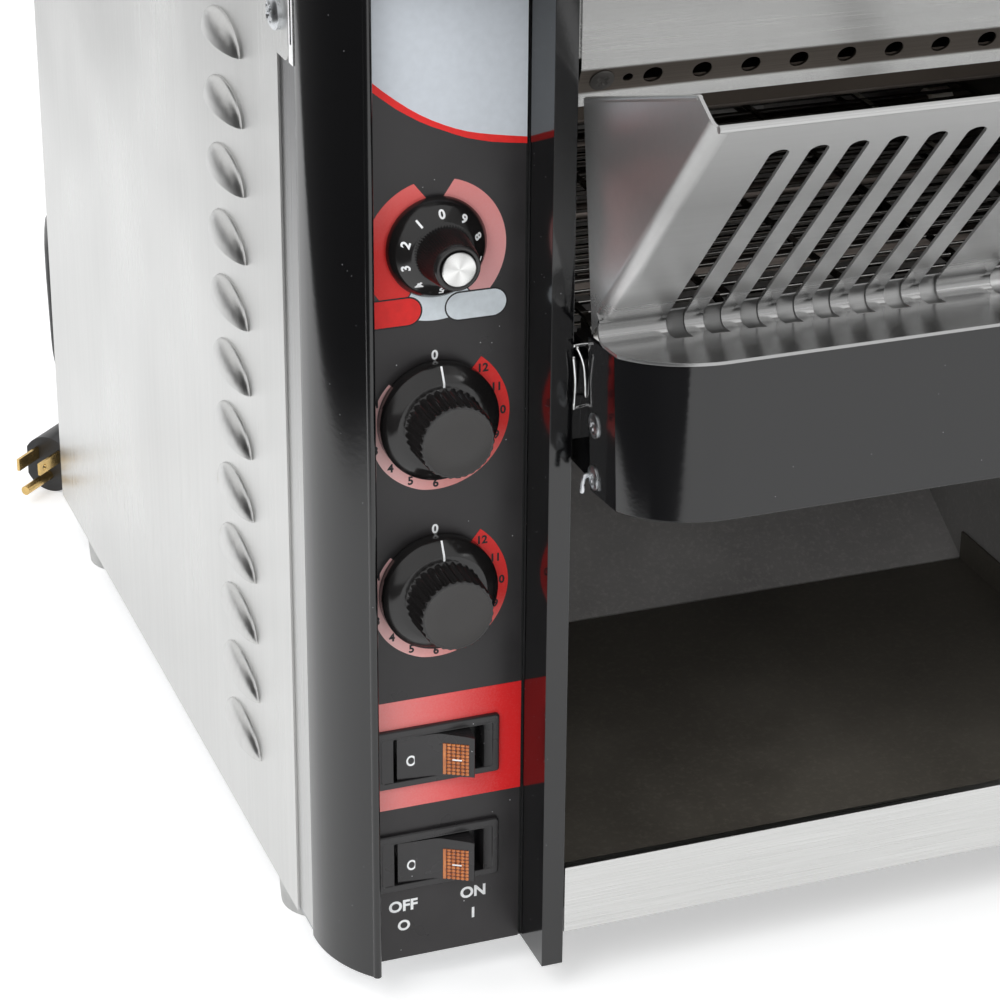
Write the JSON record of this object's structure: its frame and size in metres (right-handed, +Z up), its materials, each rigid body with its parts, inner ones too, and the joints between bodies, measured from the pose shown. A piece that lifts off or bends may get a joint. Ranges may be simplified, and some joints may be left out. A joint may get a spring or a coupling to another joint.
{
  "type": "conveyor toaster",
  "caption": "Countertop conveyor toaster: stainless cabinet, slotted loading ramp over a black bumper, wire belt, slide-out toast tray, and a side panel of knobs and rocker switches.",
  "frame": {"origin": "middle of the cabinet's box in plan, on the surface that the feet stand on", "axes": "+Z up, +Y from the loading side to the rear, +X from the control side to the other side"},
  "size_m": [0.4281, 0.7339, 0.43],
  "materials": {
    "stainless": "brushed",
    "galvanised": "dull",
    "gloss_black": "gloss",
    "dark_steel": "satin",
    "bright": "polished",
    "overlay": "satin",
    "black_plastic": "satin",
    "knob_plastic": "gloss",
    "amber": "gloss",
    "cap": "spun",
    "ceramic": "matt",
    "heater": "oxidised",
    "foot": "matt",
    "brass": "bright",
    "motor": "cast",
    "cord": "satin",
    "fan": "matt"
  },
  "bodies": {
    "cabinet": {"base_pan": "galvanised", "feet": "foot", "side_panel_left": "stainless", "side_panel_right": "stainless", "corner_frame_left": "stainless", "corner_frame_right": "stainless", "bullnose_left": "gloss_black", "bullnose_right": "gloss_black", "corner_screws": "bright", "bracket_strip": "bright", "control_plate": "stainless", "control_overlay": "overlay", "post_left": "gloss_black", "post_right": "gloss_black", "front_plate_right": "gloss_black", "inner_wall_left": "galvanised", "inner_wall_right": "galvanised", "hood_front": "stainless", "top_cover": "stainless", "rear_panel": "stainless", "cabinet_screws": "bright", "loading_ramp": "stainless", "bumper": "gloss_black", "bumper_brackets": "galvanised", "bumper_screws": "bright", "tray_rails": "galvanised", "return_chute": "dark_steel", "shaft_bushings": "brass", "wire_belt": "bright", "drive_chain": "dark_steel", "gearmotor": "motor", "motor_bracket": "galvanised", "top_heaters": "heater", "bottom_heaters": "heater", "heater_insulators": "ceramic", "top_reflector": "galvanised", "fan_frame": "fan", "speed_potentiometer": "bright", "heat_switches": "black_plastic", "rocker_frames": "black_plastic", "terminal_block": "ceramic", "strain_relief": "black_plastic", "cord_lead": "cord", "cord_coil": "cord", "cord_tail": "cord", "plug_body": "cord", "plug_pins": "brass"},
    "tray": {"toast_tray": "stainless"},
    "speed_dial": {"speed_knob": "knob_plastic", "speed_knob_cap": "cap"},
    "top_heat_dial": {"top_heat_knob": "knob_plastic"},
    "bottom_heat_dial": {"bottom_heat_knob": "knob_plastic"},
    "power_switch": {"power_rocker": "black_plastic", "power_lens": "amber"},
    "saver_switch": {"saver_rocker": "black_plastic", "saver_lens": "amber"},
    "driven_shaft": {"drive_shaft": "galvanised"},
    "front_shaft": {"idler_shaft": "galvanised"},
    "motor_wheel": {"motor_sprocket": "galvanised"},
    "fan": {"fan_rotor": "fan"}
  },
  "joints": [
    {"name": "tray_slide", "type": "slide", "parent": "cabinet", "child": "tray", "axis": [0, -1, 0], "range_m": [0, 0.2]},
    {"name": "speed_turn", "type": "hinge", "parent": "cabinet", "child": "speed_dial", "pos_m": [-0.1612, -0.17726, 0.305], "axis": [0, 1, 0], "range_deg": [0, 324]},
    {"name": "top_heat_turn", "type": "hinge", "parent": "cabinet", "child": "top_heat_dial", "pos_m": [-0.1612, -0.17726, 0.24], "axis": [0, -1, 0], "range_deg": [0, 311]},
    {"name": "bottom_heat_turn", "type": "hinge", "parent": "cabinet", "child": "bottom_heat_dial", "pos_m": [-0.1612, -0.17726, 0.1718], "axis": [0, -1, 0], "range_deg": [0, 311]},
    {"name": "power_rock", "type": "hinge", "parent": "cabinet", "child": "power_switch", "pos_m": [-0.1614, -0.16426, 0.10175], "axis": [0, 0, 1], "range_deg": [0, 16]},
    {"name": "saver_rock", "type": "hinge", "parent": "cabinet", "child": "saver_switch", "pos_m": [-0.1614, -0.16426, 0.0565], "axis": [0, 0, 1], "range_deg": [0, 16]},
    {"name": "drive_spin", "type": "hinge", "parent": "cabinet", "child": "driven_shaft", "pos_m": [0.0253, 0.23274, 0.249], "axis": [-1, 0, 0], "continuous": true},
    {"name": "idler_spin", "type": "hinge", "parent": "cabinet", "child": "front_shaft", "pos_m": [0.0253, -0.15926, 0.249], "axis": [-1, 0, 0], "continuous": true},
    {"name": "motor_spin", "type": "hinge", "parent": "cabinet", "child": "motor_wheel", "pos_m": [-0.1387, 0.15274, 0.149], "axis": [-1, 0, 0], "continuous": true},
    {"name": "fan_spin", "type": "hinge", "parent": "cabinet", "child": "fan", "pos_m": [-0.1607, 0.27774, 0.264], "axis": [0, 1, 0], "continuous": true}
  ],
  "couplings": [
    {"joint": "idler_spin", "follows": "drive_spin", "ratio": 1},
    {"joint": "motor_spin", "follows": "drive_spin", "ratio": 1}
  ]
}
